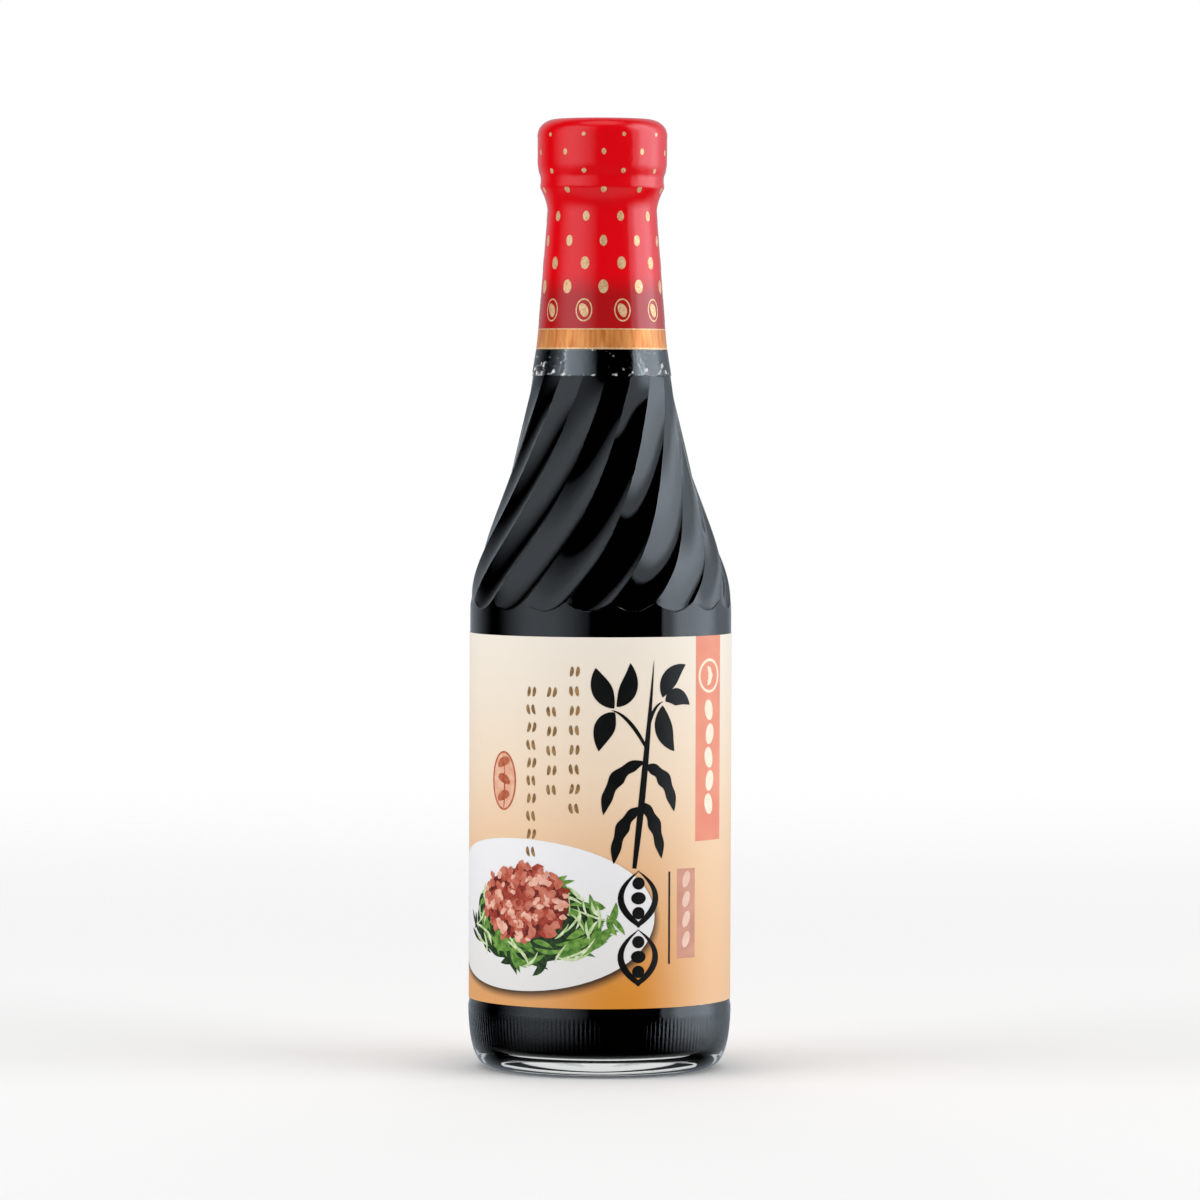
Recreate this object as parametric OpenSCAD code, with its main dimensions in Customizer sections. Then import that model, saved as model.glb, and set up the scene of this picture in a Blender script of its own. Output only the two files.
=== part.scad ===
// Soy sauce bottle: a round glass bottle with a swirled, fluted shoulder, full of sauce and shut by
// a screw cap. A film sleeve is shrunk over the cap and the neck, and a paper label goes all round.
// The bottle stands on the XY plane with its axis on Z. The middle of the label faces -Y.

/* [Body] */
// Outside diameter of the straight part that carries the label
body_d = 66; // [58:0.5:80]
// Height of the heel, from the table to the straight part
heel_h = 17.2; // [14:0.1:20]
// How far the heel stands proud of the straight part, which saves the label from rubbing
heel_proud = 0.25; // [0:0.05:0.5]
// How far in from the side the bottle stands on its ring
foot_in = 5; // [3:0.5:7]
// Width of that ring
foot_w = 4; // [2:0.5:6]
// Height of the straight part, from the heel to the shoulder
panel_h = 97.4; // [70:0.2:130]
// Height that the bottom is pushed up in the middle
push_up = 2.4; // [1:0.1:4]

/* [Shoulder and neck] */
// Height of the swirled shoulder
shoulder_h = 66.8; // [50:0.2:84]
// Diameter where the shoulder runs into the neck
neck_foot_d = 32.8; // [32.8:0.2:40]
// How far the shoulder leans in where it meets the neck, in mm for each mm of height
shoulder_lean = 0.15; // [0.1:0.01:0.2]
// Share of the shoulder's height over which it stays full at the bottom
shoulder_full = 0.28; // [0.15:0.01:0.35]
// Share of the shoulder's height over which it sweeps up to the neck
shoulder_sweep = 0.68; // [0.4:0.01:0.75]
// Height of the tapered neck
neck_h = 34.4; // [28:0.2:42]
// Diameter of the neck under the cap
neck_d = 27.2; // [24:0.2:32.8]
// Height of the straight finish that takes the cap
finish_h = 21.6; // [18:0.2:28]

/* [Flutes] */
// Number of flutes round the shoulder
flutes = 18; // [12:1:24]
// Depth of a flute at the full diameter of the body
flute_depth = 1.1; // [0.5:0.1:1.4]
// Turn of a flute from the neck down to the body, in degrees
flute_turn = 66.5; // [30:0.5:90]
// Part of that turn that falls in the last stretch, where the flutes curl
flute_curl = 5; // [0:0.5:10]
// Angle of one ridge at the top of the shoulder, from the front
flute_start = 11; // [0:1:20]
// Plain height between the shoulder's foot and the lowest point of the flutes
flute_plain = 1.7; // [1.2:0.1:4]
// Height of the scallops in which the flutes end
scallop_h = 2.4; // [1:0.1:3]

/* [Glass] */
// Thickness of the side wall, measured at the ridges
wall = 2.9; // [2.4:0.1:3.4]
// Thickness of the bottom over the foot ring
floor_t = 4.6; // [3.6:0.1:6]
// Radius of the corner inside the bottom
floor_r = 8; // [5:0.5:10]

/* [Sauce] */
// Height of the sauce in the neck, above the shoulder
sauce_rise = 16.6; // [2:0.2:24]

/* [Cap] */
// Height of the cap
cap_h = 17.2; // [14:0.2:20.8]
// Thickness of the cap's side, with its thread
cap_wall = 2.4; // [1.8:0.1:3]
// Clearance between the cap and the finish
cap_gap = 0.15; // [0.1:0.05:0.3]
// How far the cap's waist, over its lower bead, lies in from its side
cap_waist_in = 0.75; // [0.3:0.05:1]
// How far the lower bead stands out from the waist
cap_bead = 0.1; // [0.05:0.05:0.3]
// Height of the lower bead
cap_bead_h = 1.5; // [1:0.1:1.8]
// Height at which the waist ends and the full diameter begins
cap_waist_h = 6.5; // [4:0.5:8]
// Thickness of the cap's top
cap_top_t = 1.8; // [1:0.1:3]
// Rounding of the top edge, measured across
cap_round_x = 4.6; // [2:0.1:6]
// Rounding of the top edge, measured down
cap_round_z = 3.8; // [2:0.1:6]

/* [Film] */
// Thickness of the shrink film
film_t = 0.2; // [0.1:0.05:0.4]
// How far the clear hem of the film hangs over the shoulder
film_hem = 6.6; // [3:0.2:12]

/* [Label] */
// Distance from the label's upper edge up to the shoulder
label_drop = 4.6; // [1:0.1:10]
// Thickness of the label
label_t = 0.12; // [0.08:0.01:0.2]
// Height of the label's lower edge above the heel
label_lift = 0.5; // [0.2:0.1:2]

/* [Hidden] */
$fn = 96;

// Film and paper lie this far off what they cover.
skin_gap = 0.04;
// Steps along a curved outline, and along a small one.
curve_steps = 20;
bead_steps = 8;
// Softness of the bend where the film leaves the cap's lower edge.
film_ease = 0.5;
// Points across one flute, and rows down the shoulder.
flute_cols = 6;
flute_rows = 26;
// The fluted piece is this much slimmer than the turned ones it joins, which run this far over it.
join_inset = 0.03;
join_over = 0.9;
// Share of the shoulder over which the flutes deepen, and share in which they come up to their ends.
flute_rise = 0.35;
flute_stop = 0.9;
// The last rows stand closer together by this power, and the curl gathers low down by this one.
row_crowding = 1.5;
curl_power = 8;

body_r = body_d / 2;
neck_foot_r = neck_foot_d / 2;
neck_r = neck_d / 2;
foot_r = body_r - foot_in;
heel_r = body_r + heel_proud;
heel_roll = 2.2;
heel_ease = 1.8;
panel_z = heel_h;
label_h = panel_h - label_lift - label_drop;
shoulder_z = panel_z + panel_h;
neck_z = shoulder_z + shoulder_h;
finish_z = neck_z + neck_h;
lip_z = finish_z + finish_h;
bore_r = neck_r - wall;
cap_z = lip_z + cap_top_t - cap_h;
cap_r = neck_r + cap_gap + cap_wall;
waist_r = cap_r - cap_waist_in;
pitch = 360 / flutes;

function bezier(p, t) =
    pow(1 - t, 3) * p[0] + 3 * pow(1 - t, 2) * t * p[1] + 3 * (1 - t) * t * t * p[2] + pow(t, 3) * p[3];
function curve(p, steps) = [for (i = [0 : steps]) bezier(p, i / steps)];
function smooth(x) = let (c = min(1, max(0, x))) c * c * (3 - 2 * c);
function reversed(list) = [for (i = [len(list) - 1 : -1 : 0]) list[i]];
function grown(list, by) = [for (p = list) [p[0] + by, p[1]]];

// Outline of the shoulder over its ridges, and of the neck, from the bottom up.
shoulder_line = curve([
    [body_r, shoulder_z],
    [body_r, shoulder_z + shoulder_full * shoulder_h],
    [neck_foot_r + shoulder_lean * shoulder_sweep * shoulder_h, neck_z - shoulder_sweep * shoulder_h],
    [neck_foot_r, neck_z],
], curve_steps);
neck_line = curve([
    [neck_foot_r, neck_z],
    [neck_foot_r - shoulder_lean * neck_h / 8, neck_z + neck_h / 8],
    [neck_r + (neck_foot_r - neck_r) * 0.58, finish_z - neck_h * 0.58],
    [neck_r, finish_z],
], curve_steps);
heel_line = curve([
    [foot_r, 0],
    [heel_r - 1.5, 1.1],
    [heel_r - 0.3, heel_h * 0.36],
    [heel_r, heel_h - heel_roll],
], curve_steps);
height_to_radius = [for (p = concat(shoulder_line, neck_line)) [p[1], p[0]]];
function outer_r(z) = lookup(z, height_to_radius);

module turned(points) {
    rotate_extrude() polygon(points);
}

// Heel, straight part and the start of the shoulder, with the pushed-up bottom.
module lower_body() {
    top = shoulder_z + join_over;
    push_up_line = curve([
        [0, push_up],
        [foot_r * 0.35, push_up],
        [foot_r * 0.7, push_up * 0.7],
        [foot_r - foot_w, 0],
    ], bead_steps);
    turned(concat(
        push_up_line,
        heel_line,
        [[heel_r, panel_z - heel_ease], [body_r, panel_z], [body_r, shoulder_z], [outer_r(top), top], [0, top]]
    ));
}

// Neck and finish, up to the lip.
module upper_body() {
    low = neck_z - join_over;
    turned(concat(
        [[0, low], [outer_r(low), low]],
        neck_line,
        [[neck_r, lip_z], [0, lip_z]]
    ));
}

// The turn of a flute and its depth, for v from 0 at the neck to 1 at its end.
function turn(v) = (flute_turn - flute_curl) * v + flute_curl * pow(v, curl_power);
function depth(v, z) =
    let (s = max(0, (v - flute_stop) / (1 - flute_stop)))
    flute_depth * outer_r(z) / body_r * smooth(v / flute_rise) * sqrt(max(0, 1 - s * s));

// One point of the fluted skin. Across a flute, t runs from -1 to 1, with a sharp ridge at both.
function skin_point(v, flute, t) =
    let (
        low = shoulder_z + flute_plain + scallop_h * t * t,
        z = neck_z + (low - neck_z) * v,
        r = outer_r(z) - join_inset - depth(v, z) * (1 - t * t),
        a = flute_start - turn(v) + pitch * (flute + (t + 1) / 2)
    )
    [r * sin(a), -r * cos(a), z];

// Swirled shoulder: rows of points from the neck down, closed by a flat ring at the shoulder's foot.
module fluted_shoulder() {
    n = flutes * flute_cols;
    rows = [for (k = [0 : flute_rows]) 1 - pow(1 - k / flute_rows, row_crowding)];
    skin = [
        for (v = rows)
            for (i = [0 : n - 1])
                skin_point(v, floor(i / flute_cols), 2 * (i % flute_cols) / flute_cols - 1)
    ];
    foot = [
        for (i = [0 : n - 1])
            let (a = flute_start - turn(1) + 360 * i / n)
            [(body_r - join_inset) * sin(a), -(body_r - join_inset) * cos(a), shoulder_z]
    ];
    last = flute_rows + 1;
    polyhedron(
        points = concat(skin, foot),
        faces = concat(
            [[for (i = [n - 1 : -1 : 0]) i]],
            [
                for (k = [0 : last - 1])
                    for (i = [0 : n - 1])
                        let (a = k * n + i, b = k * n + (i + 1) % n)
                        each [[a, b, b + n], [a, b + n, a + n]]
            ],
            [[for (i = [0 : n - 1]) last * n + i]]
        )
    );
}

// Space inside the glass, from the floor to above the lip.
module cavity() {
    in_r = body_r - wall;
    corner = curve([
        [in_r - floor_r, floor_t],
        [in_r - floor_r * 0.4, floor_t],
        [in_r, floor_t + floor_r * 0.4],
        [in_r, floor_t + floor_r],
    ], bead_steps);
    turned(concat(
        [[0, floor_t + push_up]],
        corner,
        grown(shoulder_line, -wall),
        grown(neck_line, -wall),
        [[bore_r, lip_z + 1], [0, lip_z + 1]]
    ));
}

// Outline of the cap from its lower edge to the middle of its top, with skins laid over it.
function cap_line(skin) =
    let (top = lip_z + cap_top_t)
    concat(
        [
            [waist_r + cap_bead + skin, cap_z],
            [waist_r + cap_bead + skin, cap_z + cap_bead_h / 2],
            [waist_r + skin, cap_z + cap_bead_h],
        ],
        curve([
            [waist_r + skin, cap_z + cap_bead_h * 1.6],
            [waist_r + skin, cap_z + cap_bead_h * 2.2],
            [cap_r + skin, cap_z + cap_waist_h * 0.7],
            [cap_r + skin, cap_z + cap_waist_h],
        ], bead_steps),
        [
            for (i = [0 : bead_steps])
                let (a = 90 * i / bead_steps)
                [cap_r - cap_round_x + (cap_round_x + skin) * cos(a), top - cap_round_z + (cap_round_z + skin) * sin(a)]
        ],
        [[0, top + skin]]
    );

// Outline of the film from its hem up, at a distance from what it covers. Under the cap it bridges
// from the neck to the cap's lower edge.
function film_line(skin) =
    let (hem_z = neck_z - film_hem, edge_r = waist_r + cap_bead + skin)
    concat(
        [for (i = [0 : bead_steps - 1]) let (z = hem_z + film_hem * i / bead_steps) [outer_r(z) + skin, z]],
        grown(neck_line, skin),
        curve([
            [neck_r + skin, finish_z],
            [neck_r + skin, finish_z + (cap_z - finish_z) * 0.45],
            [edge_r - film_ease, cap_z - 2 * film_ease],
            [edge_r, cap_z],
        ], bead_steps),
        cap_line(skin)
    );

module bottle() {
    color([0.86, 0.89, 0.88])
        difference() {
            union() {
                lower_body();
                fluted_shoulder();
                upper_body();
            }
            cavity();
        }
}

module soy_sauce() {
    color([0.07, 0.03, 0.02])
        intersection() {
            cavity();
            cylinder(r = body_r, h = neck_z + sauce_rise);
        }
}

module cap() {
    inner_r = neck_r + cap_gap;
    color([0.75, 0.06, 0.09])
        turned(concat([[inner_r, lip_z], [inner_r, cap_z]], cap_line(0), [[0, lip_z]]));
}

module film_sleeve() {
    color([0.84, 0.04, 0.09])
        turned(concat(film_line(skin_gap + film_t), reversed(film_line(skin_gap))));
}

module label() {
    inner_r = body_r + skin_gap;
    color([0.97, 0.88, 0.76])
        translate([0, 0, panel_z + label_lift])
            difference() {
                cylinder(r = inner_r + label_t, h = label_h);
                translate([0, 0, -1]) cylinder(r = inner_r, h = label_h + 2);
            }
}

bottle();
soy_sauce();
cap();
film_sleeve();
label();
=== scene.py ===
import math
import random
from collections import Counter

import bpy
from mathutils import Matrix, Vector

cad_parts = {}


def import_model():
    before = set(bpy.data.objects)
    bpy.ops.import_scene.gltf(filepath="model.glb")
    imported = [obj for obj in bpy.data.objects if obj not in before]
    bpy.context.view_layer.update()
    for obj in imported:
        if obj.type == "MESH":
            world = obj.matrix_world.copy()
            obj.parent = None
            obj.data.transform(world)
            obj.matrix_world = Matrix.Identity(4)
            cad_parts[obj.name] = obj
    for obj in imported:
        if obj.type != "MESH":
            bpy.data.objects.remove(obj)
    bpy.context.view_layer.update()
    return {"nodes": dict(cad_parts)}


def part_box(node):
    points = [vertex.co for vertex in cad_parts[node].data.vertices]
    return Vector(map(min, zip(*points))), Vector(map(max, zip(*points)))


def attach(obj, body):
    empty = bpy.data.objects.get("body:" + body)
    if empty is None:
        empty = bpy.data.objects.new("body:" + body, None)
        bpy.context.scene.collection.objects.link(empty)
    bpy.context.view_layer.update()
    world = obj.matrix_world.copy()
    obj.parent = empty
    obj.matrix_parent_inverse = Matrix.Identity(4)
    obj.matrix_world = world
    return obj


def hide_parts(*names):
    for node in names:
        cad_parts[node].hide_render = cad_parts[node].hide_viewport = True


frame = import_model()

MM = 0.001


def low(node):
    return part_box(node)[0] / MM


def high(node):
    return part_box(node)[1] / MM


# Glass bottle
HEEL_R = high("bottle").x
HEEL_PROUD = 0.25
HEEL_ROLL = 2.2
HEEL_EASE = 1.8
BODY_R = HEEL_R - HEEL_PROUD
FOOT_R = BODY_R - 5
FOOT_WIDTH = 4
PUSH_UP = 2.4
PANEL_Z = 17.2
SHOULDER_Z = PANEL_Z + 97.4
SHOULDER_H = 66.8
NECK_Z = SHOULDER_Z + SHOULDER_H
NECK_H = 34.4
FINISH_Z = NECK_Z + NECK_H
LIP_Z = high("bottle").z
NECK_FOOT_R = 16.4
NECK_R = 13.6
WALL = 2.9
FLOOR_T = 4.6
FLOOR_R = 8
LIP_ROUND = 1

# Outline of the shoulder
SHOULDER_FULL = 0.28
SHOULDER_SWEEP = 0.68
SHOULDER_LEAN = 0.15

# Flutes, which swirl down the shoulder
FLUTES = 18
PITCH = math.tau / FLUTES
FLUTE_DEPTH = 1.1
FLUTE_TURN = 66.5
FLUTE_CURL = 5
CURL_POWER = 8
FLUTE_START = 11
FLUTE_PLAIN = 1.7
FLUTE_RISE = 0.35
FLUTE_STOP = 0.9
SCALLOP_H = 2.4
FLUTE_COLUMNS = 40
FLUTE_ROWS = 58

# Ribs of the heel
RIBS_PER_FLUTE = 10
RIB_DEPTH = 0.08
RIB_LOW = 6
RIB_HIGH = 14.6

# Columns of faces round a plain turned piece
COLUMNS = 180

# Shrink film
CAP_Z = low("cap").z
CAP_R = high("cap").x
CAP_TOP = high("cap").z
CAP_WAIST_IN = 0.75
CAP_BEAD = 0.1
CAP_BEAD_H = 1.5
CAP_WAIST_H = 6.5
CAP_ROUND_X = 4.6
CAP_ROUND_Z = 3.8
HEM_Z = low("film_sleeve").z
BAND_LOW = NECK_Z
BAND_HIGH = 186.6
BAND_LINE = 0.45
FILM_SKIN = 0.2
FILM_T = 0.15
PUCKER_SIZE = 5
PUCKER_DEPTH = 0.26

# Sauce
SAUCE_Z = high("soy_sauce").z
SAUCE_OVERLAP = 0.08
SAUCE_IOR = 1.38
GLASS_IOR = 1.52

# Label
PAPER_SET_IN = 0.12
PAPER_R = -low("label").x - PAPER_SET_IN
PAPER_T = 0.09
LABEL_LOW = low("label").z
LABEL_HIGH = high("label").z
LAYER = 0.015
INK_T = 0.01
SEAM_LAP = 9
CUT_WIDTH = 1.1


# ---- Helpers -------------------------------------------------------------------------------------

def linear(code):
    """Turns a colour written as sRGB hex into linear values for a shader."""
    channels = [int(code[i : i + 2], 16) / 255 for i in (1, 3, 5)]
    return [c / 12.92 if c <= 0.04045 else ((c + 0.055) / 1.055) ** 2.4 for c in channels] + [1]


def add_node(tree, kind, inputs=None, **settings):
    """Adds a node. Inputs are values, the sockets they come from, or nodes for their first output."""
    made = tree.nodes.new("ShaderNode" + kind)
    for name, value in settings.items():
        setattr(made, name, value)
    for name, value in (inputs or {}).items():
        if isinstance(value, bpy.types.Node):
            value = value.outputs[0]
        if isinstance(value, bpy.types.NodeSocket):
            tree.links.new(value, made.inputs[name])
        else:
            made.inputs[name].default_value = value
    return made


def new_material(name, inputs):
    """A new material, its node tree, its shader with these inputs set, and the points' coordinates."""
    material = bpy.data.materials.new(name)
    material.use_nodes = True
    tree = material.node_tree
    shader = tree.nodes["Principled BSDF"]
    for socket, value in inputs.items():
        shader.inputs[socket].default_value = value
    return material, tree, shader, add_node(tree, "TexCoord").outputs["Object"]


def two_tones(tree, shader, share, first, second):
    """Colours the surface between two tones, by the share of the second."""
    tint = add_node(tree, "Mix", {0: share, 6: linear(first), 7: linear(second)}, data_type="RGBA")
    tree.links.new(tint.outputs[2], shader.inputs["Base Color"])


def bump(tree, shader, height, depth):
    """Raises the surface by a pattern that is depth mm deep."""
    bumps = add_node(tree, "Bump", {"Height": height, "Distance": depth * MM})
    tree.links.new(bumps.outputs[0], shader.inputs["Normal"])


def deselect():
    if bpy.context.object and bpy.context.object.mode != "OBJECT":
        bpy.ops.object.mode_set(mode="OBJECT")
    bpy.ops.object.select_all(action="DESELECT")


def select_only(*pieces):
    deselect()
    for piece in pieces:
        piece.select_set(True)
    bpy.context.view_layer.objects.active = pieces[0]


def edit(piece):
    select_only(piece)
    bpy.ops.object.mode_set(mode="EDIT")
    bpy.ops.mesh.select_all(action="SELECT")


def leave_edit():
    bpy.ops.object.mode_set(mode="OBJECT")


def settle(piece):
    """Puts the object at the origin, unturned and unscaled, with its place in its mesh."""
    select_only(piece)
    bpy.ops.object.transform_apply(location=True, rotation=True, scale=True)
    return piece


def tidy_mesh(piece):
    edit(piece)
    bpy.ops.mesh.remove_doubles(threshold=0.002 * MM)
    bpy.ops.mesh.select_all(action="SELECT")
    bpy.ops.mesh.normals_make_consistent(inside=False)
    leave_edit()


def apply_modifier(piece, kind, **settings):
    select_only(piece)
    modifier = piece.modifiers.new(kind.lower(), kind)
    for name, value in settings.items():
        setattr(modifier, name, value)
    bpy.ops.object.modifier_apply(modifier=modifier.name)


def joined(name, parts):
    select_only(*parts)
    if len(parts) > 1:
        bpy.ops.object.join()
    parts[0].name = name
    return parts[0]


def finish_piece(piece, material, slot, *replaced):
    """Gives a piece its material and its body, and hides the CAD nodes that it stands for. Its slot is
    not used.
    """
    piece.data.materials.clear()
    piece.data.materials.append(material)
    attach(piece, "root")
    if replaced:
        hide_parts(*replaced)
    return piece


def smooth(x):
    x = min(1, max(0, x))
    return x * x * (3 - 2 * x)


def curve(points, steps):
    """Points along a cubic curve with four control points."""
    a, b, c, d = (Vector(p) for p in points)
    line = []
    for i in range(steps + 1):
        t = i / steps
        line.append(a * (1 - t) ** 3 + b * 3 * (1 - t) ** 2 * t + c * 3 * (1 - t) * t * t + d * t**3)
    return [tuple(p) for p in line]


def lathe(name, outline):
    """Draws an outline of (radius, height) points by extruding a vertex, and spins it round Z."""
    deselect()
    first = outline[0]
    bpy.ops.mesh.primitive_plane_add(size=MM, location=(first[0] * MM, 0, first[1] * MM))
    piece = settle(bpy.context.object)
    piece.name = name
    edit(piece)
    bpy.ops.mesh.merge(type="CENTER")
    for here, there in zip(outline, outline[1:]):
        step = ((there[0] - here[0]) * MM, 0, (there[1] - here[1]) * MM)
        bpy.ops.mesh.extrude_region_move(TRANSFORM_OT_translate={"value": step})
    bpy.ops.mesh.select_all(action="SELECT")
    bpy.ops.mesh.spin(steps=COLUMNS, angle=math.tau, center=(0, 0, 0), axis=(0, 0, 1))
    leave_edit()
    tidy_mesh(piece)
    return piece


def copies_round(piece, count):
    """Copies what is in a piece round the Z axis, so that there are count of them."""
    edit(piece)
    angle = math.tau * (count - 1) / count
    bpy.ops.mesh.spin(
        steps=count - 1, dupli=True, angle=angle, center=(0, 0, 0), axis=(0, 0, 1),
    )
    leave_edit()


def smooth_shading(piece, degrees=40):
    select_only(piece)
    bpy.ops.object.shade_smooth_by_angle(angle=math.radians(degrees))


# ---- Outlines ------------------------------------------------------------------------------------

SHOULDER_LINE = curve([
    (BODY_R, SHOULDER_Z),
    (BODY_R, SHOULDER_Z + SHOULDER_FULL * SHOULDER_H),
    (NECK_FOOT_R + SHOULDER_LEAN * SHOULDER_SWEEP * SHOULDER_H, NECK_Z - SHOULDER_SWEEP * SHOULDER_H),
    (NECK_FOOT_R, NECK_Z),
], 60)
NECK_LINE = curve([
    (NECK_FOOT_R, NECK_Z),
    (NECK_FOOT_R - SHOULDER_LEAN * NECK_H / 8, NECK_Z + NECK_H / 8),
    (NECK_R + (NECK_FOOT_R - NECK_R) * 0.58, FINISH_Z - NECK_H * 0.58),
    (NECK_R, FINISH_Z),
], 24)
HEEL_LINE = curve([
    (FOOT_R, 0),
    (HEEL_R - 1.5, 1.1),
    (HEEL_R - 0.3, PANEL_Z * 0.36),
    (HEEL_R, PANEL_Z - HEEL_ROLL),
], 24)


def radius_at(height):
    """Outer radius of the shoulder and neck, over the flutes' ridges."""
    side = SHOULDER_LINE + NECK_LINE[1:]
    for (r0, z0), (r1, z1) in zip(side, side[1:]):
        if height <= z1:
            return r0 + (r1 - r0) * (height - z0) / (z1 - z0)
    return NECK_R


def inner_line(grown):
    """Outline of the inside, from the middle of its floor up to the finish. grown widens it."""
    in_r = BODY_R - WALL
    corner = curve([
        (in_r - FLOOR_R, FLOOR_T),
        (in_r - FLOOR_R * 0.4, FLOOR_T),
        (in_r, FLOOR_T + FLOOR_R * 0.4),
        (in_r, FLOOR_T + FLOOR_R),
    ], 12)
    floor = [(0, FLOOR_T + PUSH_UP - grown)] + [(r + grown * 0.7, z - grown * 0.7) for r, z in corner]
    return floor + [(r - WALL + grown, z) for r, z in SHOULDER_LINE[::2] + NECK_LINE[1:]]


# ---- Glass bottle --------------------------------------------------------------------------------

def rib(height, place):
    """How far the heel's ribs sink in, with ten ribs to each flute's share of the heel."""
    fade = smooth((height - RIB_LOW) / 1.5) * smooth((RIB_HIGH - height) / 0.8)
    return RIB_DEPTH * fade * (0.5 - 0.5 * math.cos(math.pi * RIBS_PER_FLUTE * (place + 1)))


def flute_side(place):
    """Radius, height and turn of each point up the outside. place goes across one flute, from its ridge
    at -1 to its ridge at 1."""
    foot = SHOULDER_Z + FLUTE_PLAIN + SCALLOP_H * place**2
    turned = [(FOOT_R - FOOT_WIDTH, 0)] + HEEL_LINE
    for i in range(9):
        share = i / 8
        turned.append((HEEL_R - HEEL_PROUD * smooth(share), PANEL_Z - HEEL_EASE * (1 - share)))
    turned.append((BODY_R, SHOULDER_Z))
    side = [(r - rib(z, place), z, FLUTE_TURN) for r, z in turned]
    for share in (0.5, 0.9):
        height = SHOULDER_Z + (foot - SHOULDER_Z) * share
        side.append((radius_at(height), height, FLUTE_TURN))
    for row in range(FLUTE_ROWS, -1, -1):
        v = 1 - (1 - row / FLUTE_ROWS) ** 1.5
        height = NECK_Z + (foot - NECK_Z) * v
        end = max(0, (v - FLUTE_STOP) / (1 - FLUTE_STOP))
        depth = FLUTE_DEPTH * radius_at(height) / BODY_R * smooth(v / FLUTE_RISE)
        depth *= math.sqrt(max(0, 1 - end * end)) * (1 - place**2)
        turn = (FLUTE_TURN - FLUTE_CURL) * v + FLUTE_CURL * v**CURL_POWER
        side.append((radius_at(height) - depth, height, turn))
    return side


def fluted_skin():
    """Outside of the glass, from the foot to the neck: one flute's share, copied round."""
    sides = [flute_side(2 * i / FLUTE_COLUMNS - 1) for i in range(FLUTE_COLUMNS + 1)]
    rows = len(sides[0]) - 1
    deselect()
    bpy.ops.mesh.primitive_grid_add(x_subdivisions=FLUTE_COLUMNS, y_subdivisions=rows, size=1)
    skin = bpy.context.object
    # The grid's points are put on the flute by its formula, since no operator turns and hollows at once.
    for vertex in skin.data.vertices:
        column = round((vertex.co.x + 0.5) * FLUTE_COLUMNS)
        radius, height, turn = sides[column][round((vertex.co.y + 0.5) * rows)]
        angle = math.radians(FLUTE_START - turn) + PITCH * column / FLUTE_COLUMNS
        vertex.co = Vector((radius * math.sin(angle), -radius * math.cos(angle), height)) * MM
    copies_round(skin, FLUTES)
    tidy_mesh(skin)
    return skin


def bridge(piece, lowest, highest):
    """Bridges the two open rings that lie between two heights."""
    uses = Counter(key for face in piece.data.polygons for key in face.edge_keys)
    edit(piece)
    bpy.ops.mesh.select_all(action="DESELECT")
    bpy.ops.mesh.select_mode(type="EDGE")
    leave_edit()
    for edge in piece.data.edges:
        heights = [piece.data.vertices[i].co.z / MM for i in edge.vertices]
        edge.select = uses[edge.key] == 1 and lowest < min(heights) and max(heights) < highest
    bpy.ops.object.mode_set(mode="EDIT")
    bpy.ops.mesh.bridge_edge_loops()
    bpy.ops.mesh.select_mode(type="VERT")
    leave_edit()


def glass_bottle():
    """Clear glass bottle: fluted outside, pushed-up bottom, finish and the wall's inside, in one skin."""
    push_up = curve([
        (0, PUSH_UP),
        (FOOT_R * 0.35, PUSH_UP),
        (FOOT_R * 0.7, PUSH_UP * 0.7),
        (FOOT_R - FOOT_WIDTH - 0.6, 0.1),
    ], 10)
    lip = [
        (NECK_R, LIP_Z - LIP_ROUND),
        (NECK_R - 0.3 * LIP_ROUND, LIP_Z - 0.3 * LIP_ROUND),
        (NECK_R - LIP_ROUND, LIP_Z),
        (NECK_R - WALL + LIP_ROUND, LIP_Z),
        (NECK_R - WALL, LIP_Z - LIP_ROUND),
    ]
    down_inside = inner_line(0)[::-1]
    skin = fluted_skin()
    bottom = lathe("bottom", push_up)
    inside = lathe("inside", NECK_LINE[1:] + lip + down_inside)
    bottle = joined("glass_bottle", [skin, bottom, inside])
    bridge(bottle, -1, 1)
    bridge(bottle, NECK_Z - 1, NECK_Z + 3)
    tidy_mesh(bottle)
    smooth_shading(bottle, 24)
    return finish_piece(bottle, flint_glass(), "clear_glass", "bottle")


def flint_glass():
    """Blown clear container glass: bright sharp reflections, and faint waves from the mould."""
    material, tree, shader, place = new_material("flint_container_glass", {
        "Base Color": linear("#F7FBF9"), "Transmission Weight": 1, "IOR": GLASS_IOR, "Roughness": 0.03,
    })
    # Waves about 25 mm apart
    waves = add_node(tree, "TexNoise", {"Vector": place, "Scale": 40, "Detail": 1})
    bump(tree, shader, waves, 0.08)
    return material


# ---- Sauce ---------------------------------------------------------------------------------------

def sauce():
    """The sauce, up to its level in the neck. It reaches just into the wall, so that no air gap shows."""
    side = [p for p in inner_line(SAUCE_OVERLAP) if p[1] < SAUCE_Z - 0.5]
    edge = radius_at(SAUCE_Z) - WALL
    surface = [
        (edge + SAUCE_OVERLAP, SAUCE_Z),
        (edge - 0.5, SAUCE_Z - 0.4),
        (edge - 1.6, SAUCE_Z - 0.65),
        (0, SAUCE_Z - 0.7),
    ]
    piece = lathe("sauce", side + surface)
    smooth_shading(piece)
    return finish_piece(piece, soy_sauce_liquid(), "soy_sauce", "soy_sauce")


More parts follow.
